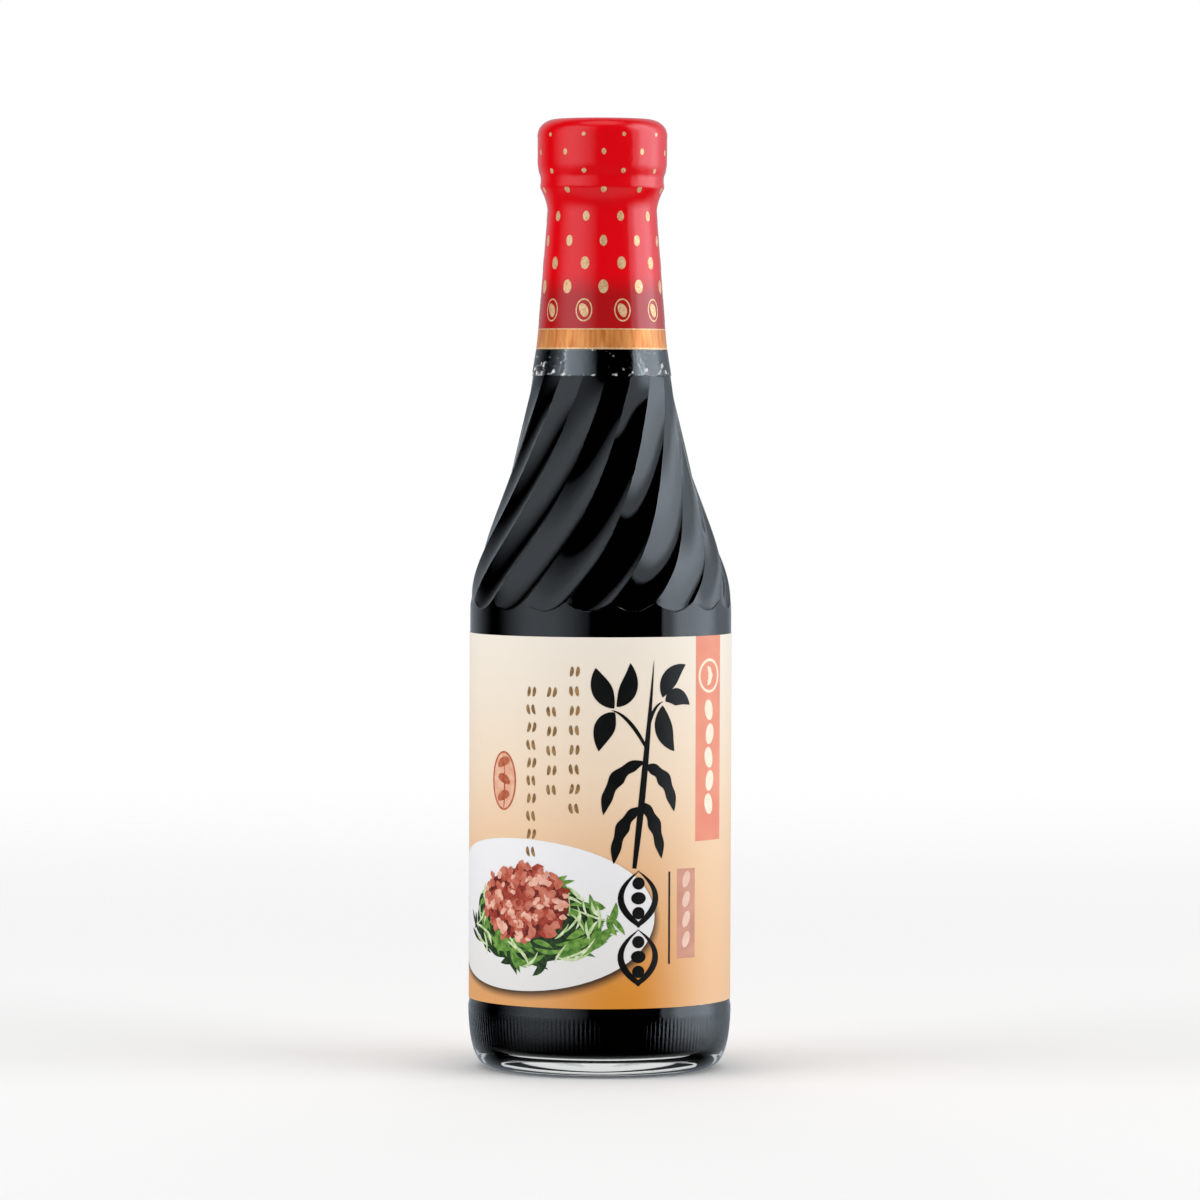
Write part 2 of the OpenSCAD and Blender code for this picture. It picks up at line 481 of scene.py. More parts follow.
def soy_sauce_liquid():
    """Soy sauce: black in the bottle, with a trace of red brown. Light that meets it at a slant from
    inside the glass mirrors back, which is why the thick bottom of a full bottle looks bright."""
    material, tree, shader, place = new_material("dark_soy_sauce", {
        "Roughness": 0.3, "Specular IOR Level": 0,
    })
    cloud = add_node(tree, "TexNoise", {"Vector": place, "Scale": 40})
    two_tones(tree, shader, cloud, "#010101", "#040201")
    slant = add_node(tree, "Fresnel", {"IOR": SAUCE_IOR / GLASS_IOR})
    share = add_node(tree, "MapRange", {"Value": slant, "From Min": 0.02})
    mirror = add_node(tree, "BsdfGlossy", {"Roughness": 0.02})
    whole = add_node(tree, "MixShader", {0: share, 1: shader, 2: mirror})
    tree.links.new(whole.outputs[0], tree.nodes["Material Output"].inputs["Surface"])
    return material


# ---- Cap and shrink film -------------------------------------------------------------------------

def film_over_cap():
    """Outline of the film over the cap, from the cap's lower edge to the middle of its top."""
    waist_r = CAP_R - CAP_WAIST_IN
    bead_r = waist_r + CAP_BEAD + FILM_SKIN
    line = [(bead_r, CAP_Z), (bead_r, CAP_Z + CAP_BEAD_H / 2), (waist_r + FILM_SKIN, CAP_Z + CAP_BEAD_H)]
    line += curve([
        (waist_r + FILM_SKIN, CAP_Z + CAP_BEAD_H * 1.6),
        (waist_r + FILM_SKIN, CAP_Z + CAP_BEAD_H * 2.2),
        (CAP_R + FILM_SKIN, CAP_Z + CAP_WAIST_H * 0.7),
        (CAP_R + FILM_SKIN, CAP_Z + CAP_WAIST_H),
    ], 8)
    side_h = CAP_TOP - CAP_Z - CAP_WAIST_H
    line += [(CAP_R + FILM_SKIN, CAP_Z + CAP_WAIST_H + side_h * share) for share in (0.25, 0.45)]
    for i in range(13):
        angle = math.radians(90 * i / 12)
        line.append((
            CAP_R - CAP_ROUND_X + (CAP_ROUND_X + FILM_SKIN) * math.cos(angle),
            CAP_TOP - CAP_ROUND_Z + (CAP_ROUND_Z + FILM_SKIN) * math.sin(angle),
        ))
    return line + [(CAP_R * 0.35, CAP_TOP + FILM_SKIN), (0, CAP_TOP + FILM_SKIN)]


def film_above_band():
    """Outline of the film from the gold band up. It bridges from the neck to the cap's lower edge."""
    edge_r = CAP_R - CAP_WAIST_IN + CAP_BEAD + FILM_SKIN
    neck = [(r + FILM_SKIN, z) for r, z in NECK_LINE if z > BAND_HIGH]
    bridge_line = curve([
        (NECK_R + FILM_SKIN, FINISH_Z),
        (NECK_R + FILM_SKIN, FINISH_Z + (CAP_Z - FINISH_Z) * 0.45),
        (edge_r - 0.5, CAP_Z - 1),
        (edge_r, CAP_Z),
    ], 8)
    start = (radius_at(BAND_HIGH) + FILM_SKIN, BAND_HIGH)
    return [start] + neck + bridge_line[1:] + film_over_cap()[1:]


def neck_stretch(bottom, top, steps):
    """Outline of a stretch of the film on the neck."""
    heights = [bottom + (top - bottom) * i / steps for i in range(steps + 1)]
    return [(radius_at(z) + FILM_SKIN, z) for z in heights]


def film_crinkles(piece):
    """Puckers the film as uneven shrinking does, deepest where the cap's lower edge pulls it."""
    texture = bpy.data.textures.new("film_puckers", "CLOUDS")
    texture.noise_scale = PUCKER_SIZE * MM
    group = piece.vertex_groups.new(name="puckers")
    for vertex in piece.data.vertices:
        height = vertex.co.z / MM
        near_edge = 1 - smooth(abs(height - CAP_Z - 2) / 9)
        group.add([vertex.index], 0.1 + 0.9 * near_edge, "REPLACE")
    apply_modifier(
        piece, "DISPLACE", texture=texture, texture_coords="LOCAL", strength=PUCKER_DEPTH * MM,
        mid_level=0.7, vertex_group="puckers",
    )


def film_shell(name, outline):
    piece = lathe(name, outline)
    film_crinkles(piece)
    apply_modifier(piece, "SOLIDIFY", thickness=FILM_T * MM, offset=-1)
    smooth_shading(piece, 50)
    return piece


def film_sleeve():
    """The film in its printed stretches: red, gold band, two pale lines and clear hem."""
    red = film_shell("film_red", film_above_band())
    finish_piece(red, red_film(), "shrink_film", "film_sleeve")
    band_floor = BAND_LOW + BAND_LINE
    band_roof = BAND_HIGH - BAND_LINE * 0.6
    band = film_shell("film_gold_band", neck_stretch(band_floor, band_roof, 6))
    finish_piece(band, gold_band_film(), "shrink_film")
    lines = joined("film_pale_lines", [
        film_shell("line_low", neck_stretch(BAND_LOW, band_floor, 1)),
        film_shell("line_high", neck_stretch(band_roof, BAND_HIGH, 1)),
    ])
    finish_piece(lines, pale_gold_ink(), "shrink_film")
    hem = film_shell("film_clear_hem", neck_stretch(HEM_Z, BAND_LOW, 10))
    finish_piece(hem, clear_film(), "shrink_film")
    return red


def red_film():
    """Shrink film printed red on its back: glossy, even, and darker where there is sauce behind it."""
    material, tree, shader, place = new_material("red_printed_shrink_film", {
        "Roughness": 0.12, "IOR": 1.53,
    })
    height = add_node(tree, "SeparateXYZ", {0: place}).outputs["Z"]
    cloud = add_node(tree, "TexNoise", {"Vector": place, "Scale": 120})
    behind = add_node(tree, "MapRange", {
        "Value": height, "From Min": (SAUCE_Z - 4) * MM, "From Max": (SAUCE_Z + 3) * MM,
    }, interpolation_type="SMOOTHSTEP")
    ink = add_node(tree, "Mix", {
        0: cloud, 6: linear("#DE0210"), 7: linear("#E80614"),
    }, data_type="RGBA")
    tint = add_node(tree, "Mix", {0: behind, 6: linear("#B01418"), 7: ink.outputs[2]}, data_type="RGBA")
    tree.links.new(tint.outputs[2], shader.inputs["Base Color"])
    # Fine puckers, about 3 mm apart
    puckers = add_node(tree, "TexNoise", {"Vector": place, "Scale": 330, "Detail": 3})
    bump(tree, shader, puckers, 0.04)
    return material


def gold_band_film():
    """Gold ink on the film, brushed up and down."""
    material, tree, shader, place = new_material("gold_printed_film", {
        "Metallic": 0.3, "Roughness": 0.36,
    })
    # Streaks 1 mm apart that run up the band
    along = add_node(tree, "Mapping", {0: place, "Scale": (1000, 1000, 40)})
    streaks = add_node(tree, "TexNoise", {"Vector": along, "Scale": 1, "Detail": 3})
    share = add_node(tree, "MapRange", {"Value": streaks, "From Min": 0.35, "From Max": 0.65})
    two_tones(tree, shader, share, "#D07434", "#F0A45C")
    bump(tree, shader, streaks, 0.02)
    return material


def pale_gold_ink():
    """Pale gold ink, raised a little, with fine metal flakes."""
    material, tree, shader, place = new_material("pale_gold_ink", {"Metallic": 0.35, "Roughness": 0.4})
    # Flakes of 0.4 mm, coarser than real ones so that they show
    flakes = add_node(tree, "TexVoronoi", {"Vector": place, "Scale": 2500}).outputs["Color"]
    share = add_node(tree, "RGBToBW", {0: flakes})
    two_tones(tree, shader, share, "#DE9A58", "#F8DDB4")
    return material


def clear_film():
    """Unprinted shrink film: clear, glossy at a slant, with small white painted glints near its edge,
    where its creases catch the light.
    """
    material, tree, shader, place = new_material("clear_shrink_film", {})
    tree.nodes.remove(shader)
    height = add_node(tree, "SeparateXYZ", {0: place}).outputs["Z"]
    # Puckers 2.5 mm apart
    puckers = add_node(tree, "TexNoise", {"Vector": place, "Scale": 400, "Detail": 2})
    bumps = add_node(tree, "Bump", {"Height": puckers, "Distance": 0.05 * MM})
    clear = add_node(tree, "BsdfTransparent", {"Color": linear("#F4F6F6")})
    gloss = add_node(tree, "BsdfGlossy", {"Roughness": 0.12, "Normal": bumps})
    # An IOR above the film's own, since its many folds mirror more than one smooth face does
    slant = add_node(tree, "Fresnel", {"IOR": 1.8, "Normal": bumps})
    film = add_node(tree, "MixShader", {0: slant, 1: clear, 2: gloss})
    # Painted glints: white specks about 1 mm long where creases catch the light, in patches some 12 mm
    # apart, thinning out above the hem's edge
    glint_grain = add_node(tree, "TexNoise", {"Vector": place, "Scale": 700, "Detail": 3})
    patches = add_node(tree, "TexNoise", {"Vector": place, "Scale": 85, "Detail": 1})
    patchy = add_node(tree, "MapRange", {
        "Value": patches, "From Min": 0.58, "From Max": 0.42, "To Min": 0, "To Max": 0.12,
    })
    edge = add_node(tree, "MapRange", {
        "Value": height, "From Min": (HEM_Z + 0.4) * MM, "From Max": (HEM_Z + 4.5) * MM,
        "To Min": 0, "To Max": 0.16,
    })
    fewer = add_node(tree, "Math", {0: patchy, 1: edge}, operation="ADD")
    lifted = add_node(tree, "Math", {0: glint_grain, 1: fewer}, operation="SUBTRACT")
    painted_glint = add_node(tree, "MapRange", {"Value": lifted, "From Min": 0.5, "From Max": 0.58})
    # Flat white for the painted glints
    white = add_node(tree, "BsdfDiffuse", {"Color": linear("#E6E8EA")})
    whole = add_node(tree, "MixShader", {0: painted_glint, 1: film, 2: white})
    tree.links.new(whole.outputs[0], tree.nodes["Material Output"].inputs["Surface"])
    return material


def moulded_cap():
    """Moulded polypropylene: satin, with the faint grain of its mould. The film hides it."""
    material, tree, shader, place = new_material("moulded_polypropylene", {"Roughness": 0.4})
    grain = add_node(tree, "TexNoise", {"Vector": place, "Scale": 900})
    two_tones(tree, shader, grain, "#B00B18", "#BE1220")
    bump(tree, shader, grain, 0.02)
    return material


def cap():
    """The CAD cap as it is, with a material of its own."""
    for slot in frame["nodes"]["cap"].material_slots:
        slot.material = moulded_cap()


# Rows of dots on the film: the row's height, and a dot's width and height. Every other row is half a
# step round.
DOT_ROWS = [
    (235.2, 1.1, 1.1),
    (230.8, 1.2, 1.6),
    (225.8, 1.3, 1.4),
    (221, 1.5, 1.9),
    (214.8, 1.9, 2.4),
    (208.7, 2.0, 2.8),
    (203.1, 2.4, 3.2),
    (197.2, 2.6, 3.5),
]
DOTS_ROUND = 10
DOT_START = 1.3
HALF_STEP = 180 / DOTS_ROUND
# Prints start this far in front of the film, and are then laid on it
LAY_FROM = 1
LIFT = 0.05
FILM_INK_T = 0.04
EMBLEM_Z = 191.3


def film_radius(height):
    """Radius of the film's outside, before it puckers."""
    line = neck_stretch(BAND_LOW, BAND_HIGH, 1)[:1] + film_above_band()
    for (r0, z0), (r1, z1) in zip(line, line[1:]):
        if z0 <= height <= z1 and z1 > z0:
            return r0 + (r1 - r0) * (height - z0) / (z1 - z0)
    return CAP_R


def round_the_film(piece, degrees):
    """Copies what is in a piece round the film, and starts the copies at this angle from the front."""
    copies_round(piece, DOTS_ROUND)
    piece.rotation_euler.z = math.radians(degrees)
    return settle(piece)


def lay_on_film(piece, film):
    """Lays a flat shape on the film's puckers, and gives it a thickness."""
    apply_modifier(
        piece, "SHRINKWRAP", target=film, wrap_method="NEAREST_SURFACEPOINT",
        wrap_mode="ABOVE_SURFACE", offset=LIFT * MM,
    )
    apply_modifier(piece, "SOLIDIFY", thickness=FILM_INK_T * MM, offset=-1)


def dot_row(row):
    height, across, tall = DOT_ROWS[row]
    deselect()
    place = (0, -(film_radius(height) + LAY_FROM) * MM, height * MM)
    bpy.ops.mesh.primitive_circle_add(
        vertices=20, radius=MM / 2, fill_type="TRIFAN", location=place, rotation=(math.pi / 2, 0, 0),
    )
    dot = bpy.context.object
    edit(dot)
    bpy.ops.mesh.subdivide(number_cuts=1)
    leave_edit()
    dot.scale = (across, tall, 1)
    settle(dot)
    return round_the_film(dot, DOT_START if row % 2 else DOT_START + HALF_STEP)


def gold_dots(film):
    """Gold dots printed on the film."""
    dots = joined("film_gold_dots", [dot_row(row) for row in range(len(DOT_ROWS))])
    lay_on_film(dots, film)
    return finish_piece(dots, pale_gold_ink(), "shrink_film")


def gold_emblems(film):
    """A plain round emblem, a bean in a ring, ten times round the film over its gold band."""
    front = film_radius(EMBLEM_Z) + LAY_FROM
    bean = oval((0, EMBLEM_Z), 1.2, 1.8, 24, 0.15, 25, front)
    edit(bean)
    bpy.ops.mesh.poke()
    leave_edit()
    emblem = joined("film_gold_emblems", [ring((0, EMBLEM_Z), 2.35, 2.9, 0.36, front), bean])
    round_the_film(emblem, DOT_START + HALF_STEP)
    lay_on_film(emblem, film)
    return finish_piece(emblem, pale_gold_ink(), "shrink_film")


# ---- Flat shapes for the print -------------------------------------------------------------------
# They are drawn upright and flat, as on the unrolled paper: a point is its place along the label and its
# height. front is how far they stand in front of the axis. A swell gives a stroke's width along its
# length.

def brush_swell(t):
    return max(0.02, math.sin(math.pi * min(1, t * 0.86 + 0.14)) ** 0.7 * (1.12 - 0.4 * t))


def leaf_swell(t):
    return max(0.02, math.sin(math.pi * t) ** 0.8 * (1.15 - 0.35 * t))


def pod_swell(t):
    return max(0.03, math.sin(math.pi * t) ** 0.55 * (0.86 + 0.14 * math.cos(6 * math.pi * (t - 0.5))))


def grain_swell(t):
    return max(0.02, math.sqrt(max(0, 1 - (2 * t - 1) ** 2)))


def even_swell(t):
    return 1


def stroke(start, middle, end, width, swell, steps=12):
    """A flat stroke along a curve from start to end that middle pulls to one side."""
    deselect()
    bpy.ops.mesh.primitive_grid_add(x_subdivisions=2, y_subdivisions=steps, size=1)
    piece = bpy.context.object
    a, b, c = Vector(start), Vector(middle), Vector(end)
    for vertex in piece.data.vertices:
        t = vertex.co.y + 0.5
        centre = a * (1 - t) ** 2 + b * 2 * t * (1 - t) + c * t * t
        way = (b - a) * (1 - t) + (c - b) * t
        side = Vector((way.y, -way.x)).normalized() * vertex.co.x * width * swell(t)
        vertex.co = Vector((centre.x + side.x, 0, centre.y + side.y)) * MM
    return piece


def oval(centre, half_width, half_height, points=48, egg=0, tilt=0, front=0):
    """A flat filled oval. egg narrows its right end, and tilt turns it."""
    deselect()
    bpy.ops.mesh.primitive_circle_add(
        vertices=points, radius=1, fill_type="NGON", rotation=(math.pi / 2, 0, 0),
    )
    piece = settle(bpy.context.object)
    turn = math.radians(tilt)
    for vertex in piece.data.vertices:
        x = vertex.co.x * half_width
        z = vertex.co.z * half_height * (1 - egg * vertex.co.x)
        along = centre[0] + x * math.cos(turn) - z * math.sin(turn)
        up = centre[1] + x * math.sin(turn) + z * math.cos(turn)
        vertex.co = Vector((along, -front, up)) * MM
    return piece


def ring(centre, half_width, half_height, width, front=0):
    """A flat ring: an oval is inset, and its middle is deleted."""
    piece = oval(centre, half_width, half_height, front=front)
    edit(piece)
    bpy.ops.mesh.inset(thickness=width * MM)
    bpy.ops.mesh.delete(type="FACE")
    leave_edit()
    return piece


def bar(left, bottom, right, top):
    """A flat rectangle."""
    middle = (left + right) / 2
    halfway = (bottom + top) / 2
    return stroke((middle, bottom), (middle, halfway), (middle, top), right - left, even_swell, 2)


def cut_for_bending(piece):
    """Cuts a flat shape into upright strips, so that it can bend."""
    across = [v.co.x / MM for v in piece.data.vertices]
    edit(piece)
    for i in range(math.ceil(min(across) / CUT_WIDTH), math.floor(max(across) / CUT_WIDTH) + 1):
        bpy.ops.mesh.select_all(action="SELECT")
        bpy.ops.mesh.bisect(plane_co=(i * CUT_WIDTH * MM, 0, 0), plane_no=(1, 0, 0))
    leave_edit()


def wrap_round(piece):
    """Bends a flat shape round the bottle, as the paper goes."""
    across = [v.co.x for v in piece.data.vertices]
    angle = (max(across) - min(across)) / (PAPER_R * MM)
    apply_modifier(piece, "SIMPLE_DEFORM", deform_method="BEND", deform_axis="Z", angle=angle)
    piece.location.y = -PAPER_R * MM
    return settle(piece)


def printed(name, parts, material, layer=1, cut=True):
    """Joins flat shapes, gives them the thickness of ink, and wraps them round on the paper."""
    piece = joined(name, parts)
    edit(piece)
    bpy.ops.mesh.remove_doubles(threshold=0.01 * MM)
    leave_edit()
    if cut:
        cut_for_bending(piece)
    for vertex in piece.data.vertices:
        vertex.co.y = -(PAPER_T + LAYER * layer) * MM
    edit(piece)
    bpy.ops.mesh.normals_make_consistent(inside=False)
    leave_edit()
    if sum(face.normal.y for face in piece.data.polygons) > 0:
        edit(piece)
        bpy.ops.mesh.flip_normals()
        leave_edit()
    apply_modifier(piece, "SOLIDIFY", thickness=INK_T * MM, offset=-1)
    wrap_round(piece)
    return finish_piece(piece, material, "label_paper")


# ---- Label ---------------------------------------------------------------------------------------

def label_paper():
    """The paper: a flat sheet, lapped over its own end at the back, and wrapped round the bottle."""
    length = math.tau * PAPER_R + SEAM_LAP
    columns = round(length / CUT_WIDTH)
    deselect()
    bpy.ops.mesh.primitive_grid_add(x_subdivisions=columns, y_subdivisions=12, size=1)
    paper = bpy.context.object
    edit(paper)
    size = (length * MM, (LABEL_HIGH - LABEL_LOW) * MM, 1)
    bpy.ops.transform.resize(value=size, center_override=(0, 0, 0))
    leave_edit()
    paper.rotation_euler.x = math.pi / 2
    paper.location = (SEAM_LAP / 2 * MM, 0, (LABEL_HIGH + LABEL_LOW) / 2 * MM)
    settle(paper)
    # The last stretch climbs over the sheet's other end
    for vertex in paper.data.vertices:
        past = vertex.co.x / MM - (math.pi * PAPER_R - 2)
        vertex.co.y = -(PAPER_T + (PAPER_T + 0.02) * smooth(past / 2)) * MM
    inward = 1 if paper.data.polygons[0].normal.y > 0 else -1
    apply_modifier(paper, "SOLIDIFY", thickness=PAPER_T * MM, offset=inward)
    wrap_round(paper)
    paper.name = "label_paper"
    smooth_shading(paper)
    return finish_piece(paper, coated_paper(), "label_paper", "label")


# Shares of the label's ground: the axis, where it begins and is full, and its least value. Warm, deep,
# and how much of the deep tone the right and the left keep, which is painted sheen of the side lights.
GROUND_AND_SHEEN_SHARES = (("Z", 118, 50, 0), ("Z", 80, 18, 0), ("X", 30, 8, 0.35), ("X", -19, 4, 0.75))


def paper_colour(tree, place):
    """The label's printed ground: cream at the top, and orange at its foot. The orange is paler towards
    the right, and a little towards the left: painted sheen where the side lights fall.
    """
    axes = add_node(tree, "SeparateXYZ", {0: place}).outputs
    warm, deep, right, left = [
        add_node(tree, "MapRange", {
            "Value": axes[axis], "From Min": start * MM, "From Max": full * MM, "To Min": least,
        }, interpolation_type="SMOOTHSTEP")
        for axis, start, full, least in GROUND_AND_SHEEN_SHARES
    ]
    # The right and left shares pale the orange towards the sides: painted sheen of the side lights
    sides = add_node(tree, "Math", {0: right, 1: left}, operation="MULTIPLY")
    orange_share_less_sheen = add_node(tree, "Math", {0: deep, 1: sides}, operation="MULTIPLY")
    upper = add_node(tree, "Mix", {
        0: warm, 6: linear("#F3EBDE"), 7: linear("#F1D3B2"),
    }, data_type="RGBA").outputs[2]
    return add_node(tree, "Mix", {
        0: orange_share_less_sheen, 6: upper, 7: linear("#D98C2C"),
    }, data_type="RGBA").outputs[2]


def coated_paper():
    """Coated label paper, offset printed, with painted sheen towards its sides: satin, with a faint fibre
    grain.
    """
    material, tree, shader, place = new_material("coated_label_paper", {
        "Roughness": 0.5, "Specular IOR Level": 0.3,
    })
    tree.links.new(paper_colour(tree, place), shader.inputs["Base Color"])
    # Fibres about 0.8 mm apart
    fibres = add_node(tree, "TexNoise", {"Vector": place, "Scale": 1200, "Detail": 4})
    bump(tree, shader, fibres, 0.012)
    return material


def ink(name, first, second, scale):
    """Satin offset ink on coated paper: two close tones, with scale mottles to a metre."""
    material, tree, shader, place = new_material(name, {"Roughness": 0.5, "Specular IOR Level": 0.3})
    mottle = add_node(tree, "TexNoise", {"Vector": place, "Scale": scale, "Detail": 3})
    share = add_node(tree, "MapRange", {"Value": mottle, "From Min": 0.35, "From Max": 0.65})
    two_tones(tree, shader, share, first, second)
    return material


# Places on the label. A column of grains is (along, top, bottom), and the tag is (left, bottom, right,
# top).
RIBBON_LEFT = 26.4
RIBBON_RIGHT = 37.2
RIBBON_FOOT = 58.8
RIBBON_RING_Z = 100
RIBBON_GRAINS = (91.5, 85.5, 79.6, 73.8, 68)
SEAL = (-26.8, 73.8)
SEAL_HALF_WIDTH = 4.2
SEAL_HALF_HEIGHT = 7.4
COLUMNS_OF_GRAINS = ((-6.5, 101.5, 67.5), (-12.4, 96.3, 72), (-18, 96.3, 56.5))
GRAIN_STEP = 4.6
OPEN_PODS_ALONG = 9.7
OPEN_PODS_Z = (45.2, 30.6)
RULE_ALONG = 18.1
TAG = (20.4, 29.8, 26.3, 52.2)
PLATE = (-24, 40.6)
PLATE_HALF_WIDTH = 38
PLATE_HALF_HEIGHT = 19
# Below 0, so that the plate's right end is the wider one
PLATE_EGG = -0.05


def ribbon():
    """Salmon ribbon down the right of the label, with a pod in a ring and a column of cream grains."""
    shape = bar(RIBBON_LEFT, RIBBON_FOOT, RIBBON_RIGHT, LABEL_HIGH)
    printed("print_ribbon", [shape], ink("salmon_ink", "#E58C74", "#EC9C84", 60))
    along = (RIBBON_LEFT + RIBBON_RIGHT) / 2
    height = RIBBON_RING_Z
    marks = [
        ring((along, height), 4.4, 4.3, 0.7),
        stroke((along - 0.8, height - 2.4), (along + 1.6, height), (along - 0.8, height + 2.4),
               2.1, pod_swell),
    ]
    for i, height in enumerate(RIBBON_GRAINS):
        lean = 0.7 if i % 2 else -0.7
        foot = (along - lean, height - 2.6)
        tip = (along + lean * 0.4, height + 2.6)
        marks.append(stroke(foot, (along + lean, height), tip, 3.4, grain_swell))
    printed("print_ribbon_marks", marks, ink("cream_ink", "#F9E8CF", "#FCF0DC", 600), 2)


def seal():
    """Red brown oval seal with three beans on a stalk."""
    along, height = SEAL
    ground = oval(SEAL, SEAL_HALF_WIDTH - 0.1, SEAL_HALF_HEIGHT - 0.1)
    printed("print_seal_ground", [ground], ink("pale_seal_ink", "#E2A284", "#EDBEA2", 500), 1)
    parts = [ring(SEAL, SEAL_HALF_WIDTH, SEAL_HALF_HEIGHT, 0.5)]
    for i, lean in enumerate((0.8, -0.8, 0.8)):
        z = height + 4.2 - 4.2 * i
        parts.append(stroke((along - 2.1, z - lean), (along, z + 1.2), (along + 2.1, z + lean),
                            2.3, grain_swell))
    parts.append(stroke((along, height - 6.8), (along + 0.6, height), (along, height + 6.8),
                        0.5, brush_swell))
    printed("print_seal", parts, ink("seal_ink", "#A94E33", "#C4714F", 900), 2)


def grain_columns():
    """Three columns of small brown grains in pairs, on the left of the label."""
    chance = random.Random(4)
    parts = []
    for along, top, bottom in COLUMNS_OF_GRAINS:
        count = round((top - bottom) / GRAIN_STEP)
        for i in range(count + 1):
            height = top - (top - bottom) * i / count
            lean = chance.uniform(0.5, 1.1) * (-1) ** i
            for x in (along - 0.75, along + 0.75):
                foot = (x - lean * 0.4, height - 1.3)
                tip = (x + lean * 0.2, height + 1.3)
                parts.append(stroke(foot, (x + lean * 0.5, height), tip, 0.95, grain_swell, 8))
    printed("print_grain_columns", parts, ink("brown_ink", "#73552F", "#A88352", 900), 3)


def soybean_sprig():
    """Soybean sprig in black brush strokes: a leaning stem, leaves in threes above, and pods below."""
    parts = [
        stroke((8.6, 52.6), (11.4, 76), (13.6, 104.4), 1.7, brush_swell, 24),
        stroke((11.6, 82.5), (7, 91), (2.6, 92), 1.0, brush_swell),
        stroke((12, 86.5), (13, 93), (16.2, 94), 0.9, brush_swell),
    ]
    leaves = (
        ((3.4, 92.4), (-0.6, 97), (-1.2, 102.4), 5.2),
        ((4, 92.8), (8.4, 97), (7.4, 103.6), 4.6),
        ((3.6, 91.4), (0.2, 88), (-0.4, 81.8), 5.2),
        ((16, 95), (17.4, 101), (22.8, 103), 4.6),
        ((16.8, 94), (20, 96.6), (24.2, 93), 4.4),
        ((16, 93), (15.4, 86), (19.4, 81.6), 5.0),
    )
    pods = (
        ((11.2, 79), (2.4, 77.6), (0.8, 66), 3.9),
        ((11.2, 78), (17.6, 77), (19.4, 66.6), 3.9),
        ((10.1, 67.8), (4.4, 64.6), (3.4, 53.8), 3.6),
        ((10.4, 69), (14.6, 65), (15.8, 55), 3.6),
    )
    parts += [stroke(*leaf, leaf_swell, 18) for leaf in leaves]
    parts += [stroke(*pod, pod_swell, 24) for pod in pods]
    printed("print_sprig", parts, ink("black_ink", "#060605", "#100E0C", 300), 5)


def open_pods():
    """Two open pods in black under the sprig, each with three beans, and a fine rule beside them."""
    along = OPEN_PODS_ALONG
    half_width, half_height = 4.7, 6.9
    parts = []
    for middle in OPEN_PODS_Z:
        for side in (-1, 1):
            foot = (along - 0.5 * side, middle - half_height)
            belly = (along + 2 * half_width * side, middle)
            tip = (along - 0.3 * side, middle + half_height)
            parts.append(stroke(foot, belly, tip, 1.7, brush_swell, 20))
        for i, bean in enumerate((1.6, 1.9, 1.6)):
            parts.append(oval((along, middle + 3.7 * (i - 1)), bean, 1.55, 20))
    parts.append(stroke((RULE_ALONG, 28.6), (RULE_ALONG, 40), (RULE_ALONG, 51.6), 0.5, even_swell, 2))
    printed("print_pods", parts, ink("woodcut_ink", "#080706", "#13100E", 300), 5)


def tag():
    """Small dull pink tag on the right, with four paler grains."""
    printed("print_tag", [bar(*TAG)], ink("dull_pink_ink", "#C48C7A", "#D29A86", 200), 1)
    grains = []
    for height in (32.4, 37.4, 42.4, 47.4):
        grains.append(stroke((22.6, height), (23.4, height + 2.2), (24, height + 4.2),
                             2.2, grain_swell, 8))
    printed("print_tag_marks", grains, ink("pale_pink_ink", "#E8BFAE", "#EFCFC0", 300), 2)


def plate():
    """A white egg-shaped plate at the foot of the label, with its soft shadow."""
    white = oval(PLATE, PLATE_HALF_WIDTH, PLATE_HALF_HEIGHT, 72, PLATE_EGG)
    printed("print_plate", [white], plate_ink(), 2)
    spread = 1.6
    shadow = oval((PLATE[0] + 0.6, PLATE[1] - 1.2), PLATE_HALF_WIDTH + spread,
                  PLATE_HALF_HEIGHT + spread, 72, PLATE_EGG)
    edit(shadow)
    bpy.ops.mesh.inset(thickness=2.8 * MM)
    leave_edit()
    shade = shadow.data.attributes.new("shade", "FLOAT", "POINT")
    inner = max(shadow.data.polygons, key=lambda face: len(face.vertices))
    for index in inner.vertices:
        shade.data[index].value = 1
    printed("print_plate_shadow", [shadow], shadow_ink(), 1)


def plate_ink():
    """Printed white, a little grey towards its foot."""
    material, tree, shader, place = new_material("plate_white_ink", {"Roughness": 0.5})
    height = add_node(tree, "SeparateXYZ", {0: place}).outputs["Z"]
    share = add_node(tree, "MapRange", {"Value": height, "From Min": 22 * MM, "From Max": 58 * MM})
    two_tones(tree, shader, share, "#E4E3E1", "#F1F0F3")
    return material


def shadow_ink():
    """The plate's shadow: dark brown next to the plate, and the label's own ground further out."""
    material, tree, shader, place = new_material("shadow_ink", {"Roughness": 0.5})
    shade = add_node(tree, "Attribute", attribute_name="shade").outputs["Fac"]
    share = add_node(tree, "MapRange", {
        "Value": shade, "To Max": 0.92,
    }, interpolation_type="SMOOTHSTEP")
    tint = add_node(tree, "Mix", {
        0: share, 6: paper_colour(tree, place), 7: linear("#2A1C12"),
    }, data_type="RGBA")
    tree.links.new(tint.outputs[2], shader.inputs["Base Color"])
    return material


def in_oval(chance, centre, half_width, half_height, inner=0):
    """A random point in an oval, and the angle at which it lies from the middle."""
    angle = chance.uniform(0, math.tau)
    reach = math.sqrt(chance.uniform(inner, 1))
    along = centre[0] + half_width * reach * math.cos(angle)
    height = centre[1] + half_height * reach * math.sin(angle)
    return along, height, angle


